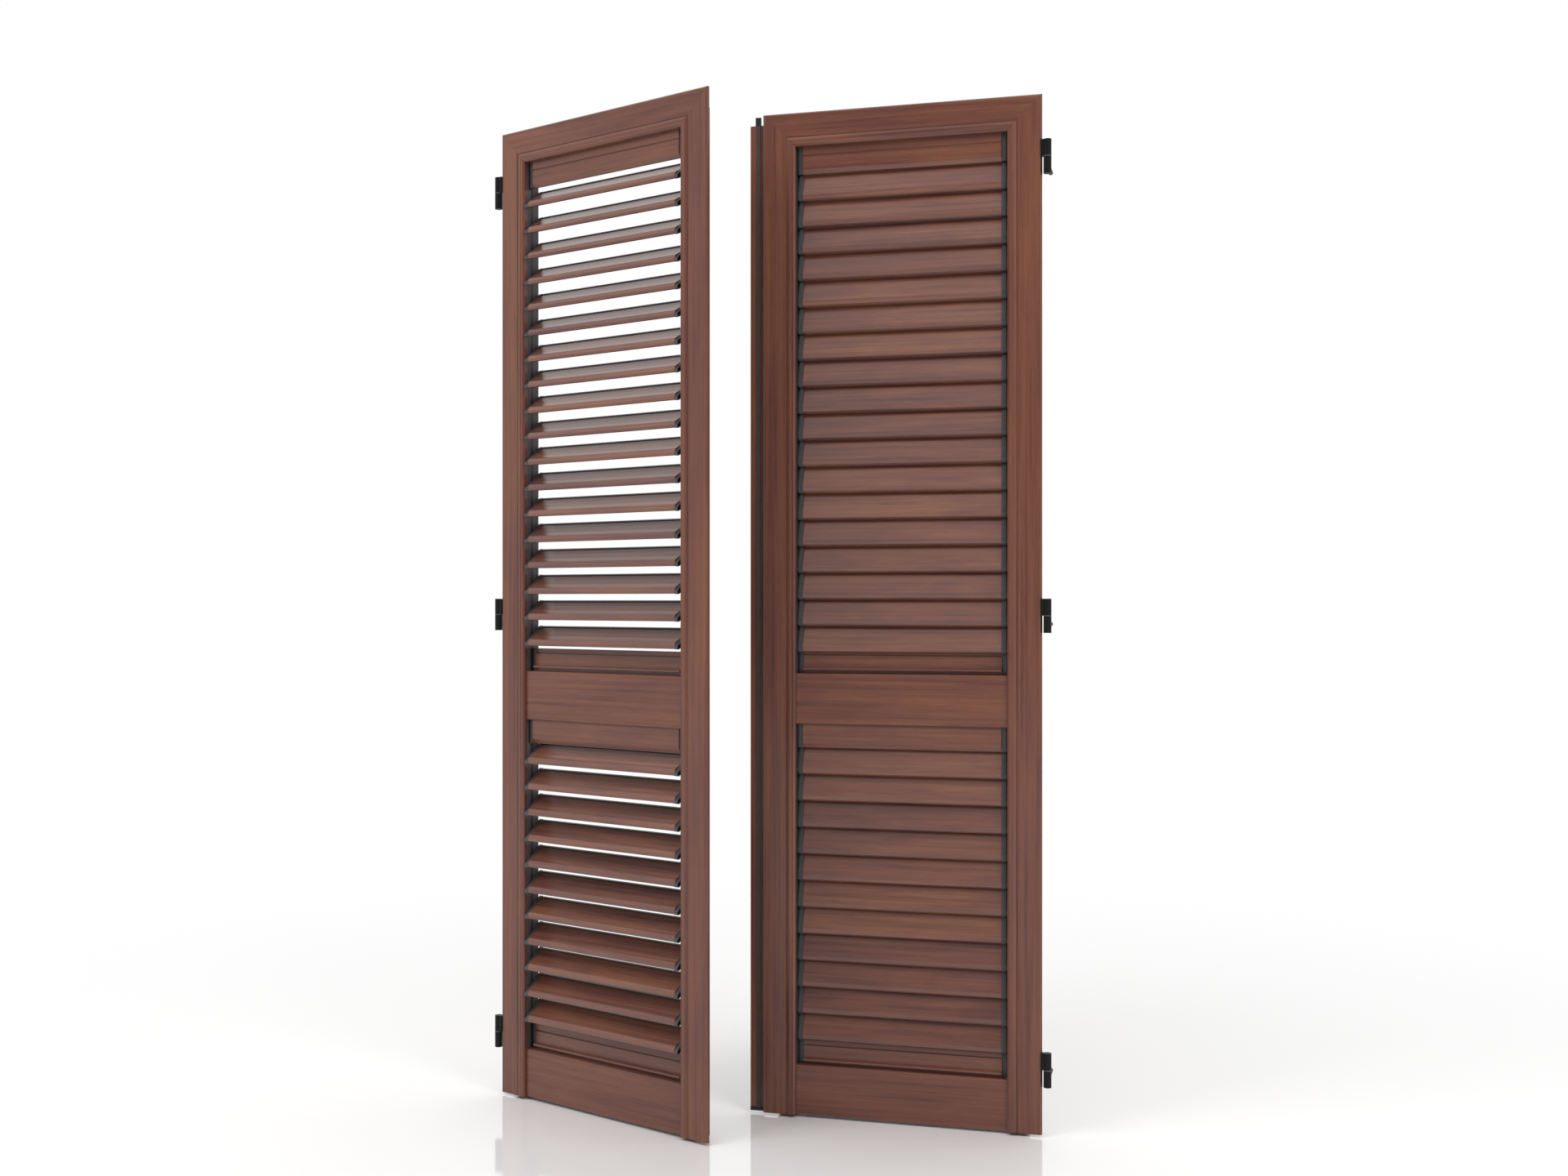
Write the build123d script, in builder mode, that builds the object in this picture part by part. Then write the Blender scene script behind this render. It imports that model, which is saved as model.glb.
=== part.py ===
from build123d import *
from collections import namedtuple
from math import cos, radians, sin, sqrt
import os

os.makedirs("parts", exist_ok=True)

# A pair of louvred shutter leaves in extruded aluminium, hung on six wall pintles.
# Lengths are in millimetres and angles in degrees.
# The wall's face is the plane Y = 0, +X runs to the right along it, -Y points out of it, +Z is up.
# The origin is the middle of the rectangle of the four outer wall studs.
# On a leaf, run counts from its outer edge to its meeting edge, depth from its front face inwards,
# and height from its bottom edge. Drop counts down from its top edge.

# Leaf
leaf_height = 2220
leaf_width = 617
leaf_depth = 46
meeting_gap = 10
wall_gap = 4
left_open_angle = 22

# Moulded frame profile, shared by the stiles and the top rail
frame_width = 74
flange_overlap = 30
flange_thickness = 8
edge_chamfer = 3
flat_width = 52
groove_width = 3
groove_depth = 1.5
bead_width = 11
bead_height = 2.5
bead_foot = 1.5
lip_width = 4
lip_height = 2
lip_slope = 1.5
profile_wall = 2

# Channel in the inner side of a stile, closed by the slat carrier
carrier_front = 10
carrier_thickness = 4
channel_depth = 20
channel_ledge = 3

# Flat rails between the stiles
rail_setback = 7
rail_chamfer = 1.5
bottom_rail_height = 110
mid_rail_bottom = 866
mid_rail_height = 112

# Corner cleats inside the mitres
cleat_leg = 110
cleat_clearance = 0.2

# Slats
slat_pitch = 59
rail_margin = 79
end_margin = 86
slat_depth = 25
slat_chord_share = 1.076
slat_pivot_share = 0.472
left_tilt = 30
closed_tilt = 71
blade_outline_shares = (
    (0, 0),
    (0, 0.165),
    (0.063, 0.165),
    (0.063, 0.079),
    (0.842, 0.094),
    (0.968, 0.016),
    (1, -0.063),
    (0.945, -0.110),
)

# Slat end caps with their pivot pins
cap_gap = 4.5
cap_length = 9.5
cap_joint = 0.1
cap_outline_shares = (
    (-0.012, -0.012),
    (-0.012, 0.167),
    (0.078, 0.167),
    (0.981, 0.021),
    (1.012, -0.066),
    (0.950, -0.120),
)
pin_radius = 3.5
pin_sides = 4
pin_engagement = 3
bearing_clearance = 0.5

# Tilt rods, driven by a crank peg on the cap at the meeting side
crank_radius = 13
crank_angle = 35.5
lug_radius = 5.5
peg_side = 4
peg_clearance = 0.4
peg_end_gap = 0.5
rod_clearance = 1
rod_thickness = 2.5
rod_width = 11
rod_end = 12
tab_reach = 14
tab_height = 40

# Filler strips above and below each slat panel
filler_front = 13
filler_thickness = 8
filler_end = 14
filler_end_setback = 2
head_lip_slope = 9
head_lip_tip = 5.5
head_groove_drop = 18
head_groove_width = 2.4
head_groove_depth = 1.5
sill_front = 23.5
sill_ledge_front = 15
sill_ledge_height = 4
sill_groove_height = 8
sill_slot_height = 40
sill_slot_width = 3.2
sill_slot_depth = 3
sill_thickness = 10.5

# Hinges
hinge_low = 139
hinge_middle = 1107
hinge_top_drop = 134
axis_offset = 11.5
axis_depth = 2
knuckle_radius = 8.5
knuckle_sides = 14
knuckle_height = 36.5
thrust_gap = 0.5
hinge_pin_radius = 5
hinge_pin_length = 26
hinge_pin_clearance = 0.1
hinge_block_half = 5
plate_thickness = 2.5
plate_reach = 26
stud_radius = 5
stud_embed = 60
stud_height = 18
stud_seat = 14

# Astragal strip on the meeting edge of the right leaf
astragal_reach = 32
astragal_front = 12
astragal_thickness = 5
astragal_top_drop = 20
astragal_foot = 8
gasket_near = 9
gasket_far = 18
gasket_proud = 1.5
gasket_seat = 2
end_block_near = 8
end_block_far = 20
end_block_top_drop = 2

# Espagnolette on the back of the left leaf
lock_inset = 57
lock_standoff = 9.5
lock_rod_radius = 6
lock_rod_sides = 8
lock_rod_low = 12
lock_rod_top_drop = 14
lock_clearance = 0.3
hook_length = 16
hook_width = 12
hook_height = 8
guide_low = 240
guide_top_drop = 216
guide_height = 24
guide_wall = 2.5
guide_foot = 14
guide_plate = 3
handle_height = 955
handle_pivot = 12
handle_pin_radius = 3
handle_block_half = 5
handle_block_back = 16
handle_block_height = 20
cheek_thickness = 2.5
handle_width = 11
handle_top = 8
handle_length = 125
handle_slot = 26
grip_chamfer = 3

# Values that follow from the driving sizes
front_y = -(flange_thickness + wall_gap)
axis_x = leaf_width + meeting_gap / 2 + axis_offset
axis_y = front_y + axis_depth
stud_rise = stud_height - knuckle_height
hinge_high = leaf_height - hinge_top_drop
leaf_bottom = -(hinge_low + hinge_high) / 2 - stud_rise
hinge_heights = (hinge_low, hinge_middle, hinge_high)
guide_heights = (guide_low, leaf_height - guide_top_drop - guide_height)
panel_top = leaf_height - frame_width
mid_rail_top = mid_rail_bottom + mid_rail_height

# the last slat stands a foot margin above the rail below it, the first a head margin below the rail above it
Panel = namedtuple("Panel", "low high foot_margin head_margin")
panels = {
    "upper": Panel(mid_rail_top, panel_top, rail_margin, end_margin),
    "lower": Panel(bottom_rail_height, mid_rail_bottom, end_margin, rail_margin),
}
clear_width = leaf_width - 2 * frame_width
blade_length = clear_width - 2 * (cap_gap + cap_length + cap_joint)
bearing_side = 2 * (pin_radius + bearing_clearance)
peg_hole_side = peg_side * sqrt(2) + 2 * peg_clearance
knuckle_bore = hinge_pin_radius + hinge_pin_clearance
handle_hole = 2 * (handle_pin_radius + lock_clearance)
channel_start = frame_width - carrier_thickness - channel_depth
# how far a closed slat reaches below and above its pivot, as shares of its chord
nose_drop_share = (blade_outline_shares[-2][0] - slat_pivot_share) * sin(radians(closed_tilt)) - (
    blade_outline_shares[-2][1] * cos(radians(closed_tilt))
)
back_rise_share = slat_pivot_share * sin(radians(closed_tilt)) + (
    blade_outline_shares[1][1] * cos(radians(closed_tilt))
)

Leaf = namedtuple("Leaf", "name hand frame")


# A leaf's own frame stands on its hinge axis, with X along the leaf and Y into the wall.
def hang(name, hand, angle):
    turn = radians(angle)
    along = (cos(turn), -hand * sin(turn), 0)
    return Leaf(name, hand, Plane(origin=(-hand * axis_x, axis_y, leaf_bottom), x_dir=along, z_dir=(0, 0, 1)))


def at(leaf, run, depth):
    return leaf.hand * (axis_offset + run), depth - axis_depth


# Horizontal plane of a leaf
def plan(leaf, height):
    return leaf.frame.offset(height)


# Upright plane across a leaf: sketch X is depth, sketch Y is height
def across(leaf, run):
    x, y = at(leaf, run, 0)
    origin = leaf.frame.from_local_coords((x, y, 0))
    return Plane(origin=origin, x_dir=leaf.frame.y_dir, z_dir=leaf.frame.x_dir)


# Plane parallel to a leaf's face: sketch X follows the run from the hinge axis, sketch Y is height
def facing(leaf, depth):
    origin = leaf.frame.from_local_coords((0, depth - axis_depth, 0))
    return Plane(origin=origin, x_dir=leaf.frame.x_dir, z_dir=-leaf.frame.y_dir)


# Plane of a slat's section, on its pivot, at the middle of the leaf: sketch X runs from back to nose
def slat_plane(leaf, height, tilt):
    turn = radians(tilt)
    x, y = at(leaf, leaf_width / 2, slat_depth)
    origin = leaf.frame.from_local_coords((x, y, height))
    chord = leaf.frame.y_dir * -cos(turn) - leaf.frame.z_dir * sin(turn)
    return Plane(origin=origin, x_dir=chord, z_dir=-leaf.frame.x_dir)


# Mitre plane through a top corner, leaning towards the other stile
def mitre(leaf, run, lean):
    x, y = at(leaf, run, 0)
    origin = leaf.frame.from_local_coords((x, y, leaf_height))
    return Plane(origin=origin, z_dir=leaf.frame.x_dir * (leaf.hand * lean) + leaf.frame.z_dir)


def save(piece, name):
    piece.part.label = name
    export_step(piece.part, f"parts/{name}.step")


# Rectangle between two opposite corners
def corner_rectangle(one, other, mode=Mode.ADD):
    middle = ((one[0] + other[0]) / 2, (one[1] + other[1]) / 2)
    with Locations(middle):
        Rectangle(abs(other[0] - one[0]), abs(other[1] - one[1]), mode=mode)


# Outline of a frame profile: flange, flat, groove and bead, closed by the given inner side.
# The spot function turns a distance from the outer edge and a depth into sketch coordinates.
def frame_outline(spot, inner_side):
    bead_start = flat_width + groove_width
    bead_end = bead_start + bead_width
    Polyline(
        spot(0, flange_thickness),
        spot(0, edge_chamfer),
        spot(edge_chamfer, 0),
        spot(flat_width, 0),
        spot(flat_width + groove_width / 2, groove_depth),
        spot(bead_start, 0),
    )
    ThreePointArc(
        spot(bead_start, 0),
        spot((bead_start + bead_end) / 2, -bead_height),
        spot(bead_end, -bead_foot),
    )
    Polyline(
        spot(bead_end, -bead_foot),
        spot(frame_width - lip_width, -lip_height),
        spot(frame_width, lip_slope),
        *[spot(*point) for point in inner_side],
        spot(flange_overlap, leaf_depth),
        spot(flange_overlap, flange_thickness),
        spot(0, flange_thickness),
    )


# Stile: the profile stands on end, with the carrier channel in its inner side and a mitred top.
# The hinge stile's flange is notched for the hinge plates at the given heights.
def make_stile(leaf, outer_run, lean, notch_heights=()):
    def spot(distance, depth):
        return at(leaf, outer_run + lean * distance, depth)

    seat = frame_width - carrier_thickness
    channel_front = carrier_front + channel_ledge
    channel_back = leaf_depth - channel_ledge
    inner_side = (
        (frame_width, carrier_front),
        (seat, carrier_front),
        (seat, channel_front),
        (channel_start, channel_front),
        (channel_start, channel_back),
        (seat, channel_back),
        (seat, leaf_depth),
    )
    with BuildPart() as stile:
        with BuildSketch(plan(leaf, 0)):
            with BuildLine():
                frame_outline(spot, inner_side)
            make_face()
            corner_rectangle(
                spot(flange_overlap + profile_wall, flange_thickness + profile_wall),
                spot(channel_start - profile_wall, leaf_depth - profile_wall),
                Mode.SUBTRACT,
            )
        extrude(amount=leaf_height)
        split(bisect_by=mitre(leaf, outer_run, lean), keep=Keep.BOTTOM)
        for height in notch_heights:
            with BuildSketch(plan(leaf, height - knuckle_height)):
                corner_rectangle(spot(0, 0), spot(plate_thickness, flange_thickness))
            extrude(amount=2 * knuckle_height, mode=Mode.SUBTRACT)
    return stile


# Top rail: the same profile laid across, mitred at both ends
def make_top_rail(leaf):
    def spot(distance, depth):
        return depth, leaf_height - distance

    inner_side = ((frame_width, leaf_depth),)
    with BuildPart() as rail:
        with BuildSketch(across(leaf, 0)):
            with BuildLine():
                frame_outline(spot, inner_side)
            make_face()
            corner_rectangle(
                spot(flange_overlap + profile_wall, flange_thickness + profile_wall),
                spot(frame_width - profile_wall, leaf_depth - profile_wall),
                Mode.SUBTRACT,
            )
        extrude(amount=leaf.hand * leaf_width)
        split(bisect_by=mitre(leaf, 0, 1), keep=Keep.TOP)
        split(bisect_by=mitre(leaf, leaf_width, -1), keep=Keep.TOP)
    return rail


# Flat hollow rail butted between the stiles
def make_flat_rail(leaf, bottom, height):
    top = bottom + height
    with BuildPart() as rail:
        with BuildSketch(across(leaf, frame_width)):
            with BuildLine():
                Polyline(
                    (leaf_depth, bottom),
                    (rail_setback + rail_chamfer, bottom),
                    (rail_setback, bottom + rail_chamfer),
                    (rail_setback, top - rail_chamfer),
                    (rail_setback + rail_chamfer, top),
                    (leaf_depth, top),
                    close=True,
                )
            make_face()
            corner_rectangle(
                (rail_setback + profile_wall, bottom + profile_wall),
                (leaf_depth - profile_wall, top - profile_wall),
                Mode.SUBTRACT,
            )
        extrude(amount=leaf.hand * clear_width)
    return rail


# L-shaped cleats inside the two mitred corners
def make_cleats(leaf):
    near = flange_overlap + profile_wall + cleat_clearance
    far = channel_start - profile_wall - cleat_clearance
    front = flange_thickness + profile_wall + cleat_clearance
    thickness = leaf_depth - flange_thickness - 2 * (profile_wall + cleat_clearance)
    corner = (
        (near, cleat_leg),
        (far, cleat_leg),
        (far, far),
        (cleat_leg, far),
        (cleat_leg, near),
        (near, near),
    )
    with BuildPart() as cleats:
        for outer_run, lean in ((0, 1), (leaf_width, -1)):
            with BuildSketch(facing(leaf, front)):
                with BuildLine():
                    Polyline(
                        *[(at(leaf, outer_run + lean * a, 0)[0], leaf_height - b) for a, b in corner],
                        close=True,
                    )
                make_face()
            extrude(amount=-thickness)
    return cleats


# Heights of a panel's first and last slat pivots
def ends(panel):
    size = panels[panel]
    return size.high - size.head_margin, size.low + size.foot_margin


# Number of slats in a panel: as many as fit at about the wanted pitch
def rows(panel):
    first, last = ends(panel)
    return round((first - last) / slat_pitch) + 1


# Distance between the slats of a panel, and their chord, which overlaps it when they are closed
def pitch(panel):
    first, last = ends(panel)
    return (first - last) / (rows(panel) - 1)


def chord(panel):
    return slat_chord_share * pitch(panel)


# Heights of the slat pivots in a panel, from the top down
def pivots(panel):
    first = ends(panel)[0]
    return [first - pitch(panel) * i for i in range(rows(panel))]


# Carrier strip that closes a stile's channel, with a bearing hole for each slat pin
def make_carrier(leaf, inner_run, lean, holes):
    with BuildPart() as carrier:
        with BuildSketch(across(leaf, inner_run - lean * carrier_thickness)):
            corner_rectangle((carrier_front, 0), (leaf_depth, panel_top))
            with Locations(*[(slat_depth, height) for height in holes]):
                Rectangle(bearing_side, bearing_side, mode=Mode.SUBTRACT)
        extrude(amount=leaf.hand * lean * carrier_thickness)
    return carrier


# Outline of a slat's section, with its pivot at the origin
def slat_outline(panel, shares):
    return [(chord(panel) * (a - slat_pivot_share), chord(panel) * b) for a, b in shares]


# Crank peg's place on a slat, seen from its pivot
def crank_place():
    turn = radians(crank_angle)
    return -crank_radius * cos(turn), -crank_radius * sin(turn)


# Turning slat: blade, two end caps with pivot pins, and a crank peg at the meeting side
def make_slat(leaf, panel, height, tilt):
    middle = slat_plane(leaf, height, tilt)
    cap_start = blade_length / 2 + cap_joint
    cap_end = cap_start + cap_length
    with BuildPart() as slat:
        with BuildSketch(middle):
            with BuildLine():
                Polyline(*slat_outline(panel, blade_outline_shares), close=True)
            make_face()
        extrude(amount=blade_length / 2, both=True)
        for side in (1, -1):
            with BuildSketch(middle.offset(side * cap_start)):
                with BuildLine():
                    Polyline(*slat_outline(panel, cap_outline_shares), close=True)
                make_face()
                if side * leaf.hand < 0:
                    with Locations(crank_place()):
                        Rectangle(2 * lug_radius, 2 * lug_radius)
            extrude(amount=side * cap_length)
            with BuildSketch(middle.offset(side * cap_end)):
                RegularPolygon(pin_radius, pin_sides)
            extrude(amount=side * (cap_gap + pin_engagement))
        with BuildSketch(middle.offset(-leaf.hand * cap_end)):
            with Locations(crank_place()):
                Rectangle(peg_side, peg_side)
        extrude(amount=-leaf.hand * (cap_gap - peg_end_gap))
    return slat


# Tilt rod: a flat bar that links the crank pegs of a panel, with a finger tab on the inner side
def make_tilt_rod(leaf, heights, tilt):
    lag = radians(tilt - crank_angle)
    peg_depth = slat_depth + crank_radius * cos(lag)
    pegs = [(peg_depth, height + crank_radius * sin(lag)) for height in heights]
    half = rod_width / 2
    middle = (pegs[0][1] + pegs[-1][1]) / 2
    with BuildPart() as rod:
        with BuildSketch(across(leaf, leaf_width - frame_width - rod_clearance)):
            corner_rectangle(
                (peg_depth - half, pegs[-1][1] - rod_end),
                (peg_depth + half, pegs[0][1] + rod_end),
            )
            corner_rectangle(
                (peg_depth + half, middle - tab_height / 2),
                (leaf_depth + tab_reach, middle + tab_height / 2),
            )
            with Locations(*pegs):
                Rectangle(peg_hole_side, peg_hole_side, mode=Mode.SUBTRACT)
        extrude(amount=-leaf.hand * rod_thickness)
    return rod


# Closed slats of the right leaf, in one piece with the carriers at their ends
def make_fixed_slats(leaf, panel, bottom, top):
    with BuildPart() as slats:
        for inner_run, lean in ((frame_width, 1), (leaf_width - frame_width, -1)):
            with BuildSketch(across(leaf, inner_run - lean * carrier_thickness)):
                corner_rectangle((carrier_front, bottom), (leaf_depth, top))
            extrude(amount=leaf.hand * lean * carrier_thickness)
        for height in pivots(panel):
            with BuildSketch(slat_plane(leaf, height, closed_tilt)):
                with BuildLine():
                    Polyline(*slat_outline(panel, blade_outline_shares), close=True)
                make_face()
            extrude(amount=clear_width / 2, both=True)
    return slats


# Section of the strip above the first slat, which ends in a lip like a slat's nose
def head_section(panel, grooved):
    top = panels[panel].high
    lip = pivots(panel)[0] + pitch(panel) - nose_drop_share * chord(panel)
    back = filler_front + filler_thickness
    groove_top = top - head_groove_drop
    groove = (
        (filler_front, groove_top),
        (filler_front + head_groove_depth, groove_top - head_groove_width / 2),
        (filler_front, groove_top - head_groove_width),
    )
    return (
        (back, top),
        (filler_front, top),
        *(groove if grooved else ()),
        (filler_front, lip + head_lip_slope),
        (filler_front + head_lip_tip, lip),
        (back, lip),
    )


# Section of the strip below the last slat, with a ledge over the rail and a slot under its top edge
def sill_section(panel):
    bottom = panels[panel].low
    top = pivots(panel)[-1] - pitch(panel) + back_rise_share * chord(panel)
    back = sill_front + sill_thickness
    ledge = bottom + sill_groove_height
    ledge_top = ledge + sill_ledge_height
    slot = bottom + sill_slot_height
    slot_top = slot + sill_slot_width
    slot_floor = sill_front + sill_slot_depth
    return (
        (back, bottom),
        (sill_front, bottom),
        (sill_front, ledge),
        (sill_ledge_front, ledge),
        (sill_ledge_front, ledge_top),
        (sill_front, ledge_top),
        (sill_front, slot),
        (slot_floor, slot),
        (slot_floor, slot_top),
        (sill_front, slot_top),
        (sill_front, top),
        (back, top),
    )


# Plain end block of a strip, as tall as the strip and set back from its front
def block_section(section, front):
    depths = [depth for depth, height in section]
    heights = [height for depth, height in section]
    low = (front + filler_end_setback, min(heights))
    high = (max(depths), max(heights))
    return low, (high[0], low[1]), high, (low[0], high[1])


# The four filler strips of a leaf, each with an end block on both sides
def make_fillers(leaf):
    strip_length = clear_width - 2 * (filler_end + cap_joint)
    with BuildPart() as fillers:
        for panel in panels:
            head = head_section(panel, panel == "upper")
            sill = sill_section(panel)
            sections = ((head, block_section(head, filler_front)), (sill, block_section(sill, sill_front)))
            for strip, block in sections:
                pieces = (
                    (block, frame_width, filler_end),
                    (strip, frame_width + filler_end + cap_joint, strip_length),
                    (block, leaf_width - frame_width - filler_end, filler_end),
                )
                for outline, run, length in pieces:
                    with BuildSketch(across(leaf, run)):
                        with BuildLine():
                            Polyline(*outline, close=True)
                        make_face()
                    extrude(amount=leaf.hand * length)
    return fillers


# Leaf knuckles: a bored barrel on a block, with an angle plate that is let into the edge of the flange
def make_knuckles(leaf):
    plate_back = flange_thickness + plate_thickness
    plate = (
        (0, edge_chamfer),
        (0, plate_back),
        (plate_reach, plate_back),
        (plate_reach, flange_thickness),
        (plate_thickness, flange_thickness),
        (plate_thickness, edge_chamfer),
    )
    with BuildPart() as knuckles:
        for height in hinge_heights:
            foot = height + thrust_gap / 2
            length = knuckle_height - thrust_gap / 2
            with BuildSketch(plan(leaf, foot)):
                RegularPolygon(knuckle_radius, knuckle_sides)
                corner_rectangle(
                    at(leaf, -axis_offset, axis_depth - hinge_block_half),
                    at(leaf, plate_thickness, axis_depth + hinge_block_half),
                )
            extrude(amount=length)
            with BuildSketch(plan(leaf, height - knuckle_height)):
                with BuildLine():
                    Polyline(*[at(leaf, *point) for point in plate], close=True)
                make_face()
            extrude(amount=2 * knuckle_height)
            with BuildSketch(plan(leaf, foot)):
                RegularPolygon(knuckle_bore, knuckle_sides, major_radius=False)
            extrude(amount=hinge_pin_length, mode=Mode.SUBTRACT)
    return knuckles


# Wall pintles: a barrel with a pin standing in the leaf knuckle and a stud into the wall
def make_pintles():
    with BuildPart() as pintles:
        for side in (-1, 1):
            place = (side * axis_x, axis_y)
            for height in hinge_heights:
                foot = leaf_bottom + height - knuckle_height
                with BuildSketch(Plane.XY.offset(foot)):
                    with Locations(place):
                        RegularPolygon(knuckle_radius, knuckle_sides)
                extrude(amount=knuckle_height - thrust_gap / 2)
                with BuildSketch(Plane.XY.offset(foot)):
                    with Locations(place):
                        Circle(hinge_pin_radius)
                extrude(amount=knuckle_height + hinge_pin_length - thrust_gap)
                root = Plane(origin=(*place, foot + stud_height), x_dir=(1, 0, 0), z_dir=(0, 1, 0))
                with BuildSketch(root):
                    Rectangle(stud_seat, stud_seat)
                extrude(amount=-axis_y)
                with BuildSketch(root.offset(-axis_y)):
                    Circle(stud_radius)
                extrude(amount=stud_embed)
    return pintles


# Astragal: a strip behind the flange of the right meeting stile that the left leaf closes over
def make_astragal(leaf):
    back = astragal_front + astragal_thickness
    seat = astragal_front + gasket_seat
    outline = (
        (-flange_overlap, flange_thickness),
        (0, flange_thickness),
        (0, astragal_front),
        (gasket_near, astragal_front),
        (gasket_near, seat),
        (gasket_far, seat),
        (gasket_far, astragal_front),
        (astragal_reach, astragal_front),
        (astragal_reach, back),
        (-flange_overlap, back),
    )
    with BuildPart() as astragal:
        with BuildSketch(plan(leaf, astragal_foot)):
            with BuildLine():
                Polyline(*[at(leaf, leaf_width + a, b) for a, b in outline], close=True)
            make_face()
        extrude(amount=leaf_height - astragal_top_drop - astragal_foot)
    return astragal


# Soft gasket in the astragal's seat
def make_gasket(leaf):
    with BuildPart() as gasket:
        with BuildSketch(plan(leaf, astragal_foot)):
            corner_rectangle(
                at(leaf, leaf_width + gasket_near, astragal_front - gasket_proud),
                at(leaf, leaf_width + gasket_far, astragal_front + gasket_seat),
            )
        extrude(amount=leaf_height - astragal_top_drop - astragal_foot)
    return gasket


# Black blocks on the two ends of the astragal
def make_end_blocks(leaf):
    back = astragal_front + astragal_thickness
    top_height = astragal_top_drop - end_block_top_drop
    blocks = (
        (0, astragal_foot, 0, astragal_reach),
        (leaf_height - astragal_top_drop, top_height, end_block_near, end_block_far),
    )
    with BuildPart() as end_blocks:
        for foot, height, near, far in blocks:
            with BuildSketch(plan(leaf, foot)):
                corner_rectangle(
                    at(leaf, leaf_width + near, astragal_front - gasket_proud),
                    at(leaf, leaf_width + far, back),
                )
            extrude(amount=height)
    return end_blocks


# Guides that hold the espagnolette rod off the back of the meeting stile
def make_guides(leaf):
    run = leaf_width - lock_inset
    axis = leaf_depth + lock_standoff
    eye = lock_rod_radius + lock_clearance
    outside = eye + guide_wall
    with BuildPart() as guides:
        for height in guide_heights:
            with BuildSketch(plan(leaf, height)):
                corner_rectangle(
                    at(leaf, run - guide_foot, leaf_depth),
                    at(leaf, run + guide_foot, leaf_depth + guide_plate),
                )
                corner_rectangle(
                    at(leaf, run - outside, leaf_depth + guide_plate),
                    at(leaf, run + outside, axis + outside),
                )
                corner_rectangle(
                    at(leaf, run - eye, axis - eye),
                    at(leaf, run + eye, axis + eye),
                    Mode.SUBTRACT,
                )
            extrude(amount=guide_height)
    return guides


# Espagnolette rod with a hook at each end, a collar that rests on a guide, and the handle's block and pin.
# It is drawn unlocked: hooks and handle lie along the leaf, towards its hinges.
def make_lock_rod(leaf):
    run = leaf_width - lock_inset
    axis = leaf_depth + lock_standoff
    rod_top = leaf_height - lock_rod_top_drop
    block_foot = handle_height - handle_block_height / 2
    pin_half = handle_block_half + cheek_thickness + lock_clearance
    collar_foot = guide_low + guide_height + lock_clearance
    with BuildPart() as rod:
        with BuildSketch(plan(leaf, lock_rod_low + hook_height)):
            with Locations(at(leaf, run, axis)):
                RegularPolygon(lock_rod_radius, lock_rod_sides)
        extrude(amount=rod_top - lock_rod_low - 2 * hook_height)
        for foot in (lock_rod_low, rod_top - hook_height):
            with BuildSketch(plan(leaf, foot)):
                corner_rectangle(
                    at(leaf, run - hook_length, axis - hook_width / 2),
                    at(leaf, run + hook_width / 2, axis + hook_width / 2),
                )
            extrude(amount=hook_height)
        with BuildSketch(plan(leaf, collar_foot)):
            with Locations(at(leaf, run, axis)):
                RegularPolygon(lock_rod_radius + guide_wall, lock_rod_sides)
        extrude(amount=hook_height)
        with BuildSketch(plan(leaf, block_foot)):
            corner_rectangle(
                at(leaf, run - handle_block_back, axis - handle_block_half),
                at(leaf, run + handle_block_half, axis + handle_block_half),
            )
        extrude(amount=handle_block_height)
        with BuildSketch(facing(leaf, axis - pin_half)):
            with Locations((at(leaf, run - handle_pivot, 0)[0], handle_height)):
                RegularPolygon(handle_pin_radius, pin_sides)
        extrude(amount=-2 * pin_half)
    return rod


# Lift handle: two cheeks on the rod's pin that join in a grip
def make_handle(leaf):
    axis = leaf_depth + lock_standoff
    pivot = at(leaf, leaf_width - lock_inset - handle_pivot, 0)[0]
    inside = handle_block_half + lock_clearance
    half = inside + cheek_thickness
    grip_top = handle_height - handle_slot
    handle_end = handle_height + handle_top
    with BuildPart() as handle:
        with BuildSketch(facing(leaf, axis - half)):
            corner_rectangle(
                (pivot - handle_width / 2, handle_height - handle_length),
                (pivot + handle_width / 2, handle_end),
            )
            with Locations((pivot, handle_height)):
                Rectangle(handle_hole, handle_hole, mode=Mode.SUBTRACT)
        extrude(amount=-2 * half)
        with BuildSketch(facing(leaf, axis - inside)):
            corner_rectangle(
                (pivot - handle_width, grip_top),
                (pivot + handle_width, handle_end + handle_width),
            )
        extrude(amount=-2 * inside, mode=Mode.SUBTRACT)
        depth_axis = Axis(leaf.frame.origin, leaf.frame.y_dir)
        grip_ends = handle.edges().filter_by(depth_axis).group_by(Axis.Z)[0]
        chamfer(grip_ends, length=grip_chamfer)
    return handle


# Both leaves: frame, rails, cleats, fillers and hinge knuckles
left = hang("left", 1, left_open_angle)
right = hang("right", -1, 0)
for leaf in (left, right):
    save(make_stile(leaf, 0, 1, hinge_heights), f"{leaf.name}_hinge_stile")
    save(make_stile(leaf, leaf_width, -1), f"{leaf.name}_meeting_stile")
    save(make_top_rail(leaf), f"{leaf.name}_top_rail")
    save(make_flat_rail(leaf, mid_rail_bottom, mid_rail_height), f"{leaf.name}_mid_rail")
    save(make_flat_rail(leaf, 0, bottom_rail_height), f"{leaf.name}_bottom_rail")
    save(make_cleats(leaf), f"{leaf.name}_corner_cleats")
    save(make_fillers(leaf), f"{leaf.name}_filler_strips")
    save(make_knuckles(leaf), f"{leaf.name}_hinge_knuckles")
save(make_pintles(), "wall_pintles")

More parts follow.
